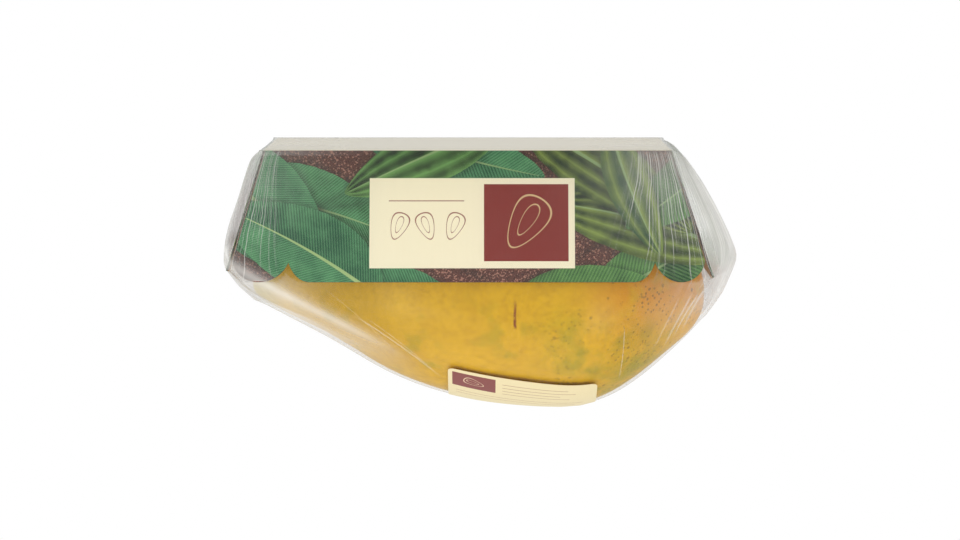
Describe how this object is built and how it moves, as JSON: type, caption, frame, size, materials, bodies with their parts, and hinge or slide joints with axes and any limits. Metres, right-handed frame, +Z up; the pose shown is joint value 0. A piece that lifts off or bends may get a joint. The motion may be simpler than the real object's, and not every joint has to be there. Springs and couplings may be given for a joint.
{
  "type": "papaya packed in a card tray",
  "caption": "Whole ripe papaya lying in a folded fluted-card tray with a scalloped rim, wrapped in clear stretch film with a paper label over the crown.",
  "frame": {"origin": "middle of the pack's box on the surface that the tray stands on, which is the underside of the film below the tray's base", "axes": "+Z up from the tray to the crown of the fruit, +X along the fruit towards its stem end, and -Y towards the long wall that the picture shows"},
  "size_m": [0.2702, 0.1432, 0.1412],
  "materials": {
    "fruit_skin": "satin",
    "printed_card": "satin",
    "clear_film": "gloss",
    "label_paper": "satin"
  },
  "bodies": {
    "root": {"papaya": "fruit_skin", "card_tray": "printed_card", "film_wrap": "clear_film", "label_sticker": "label_paper"}
  },
  "joints": []
}
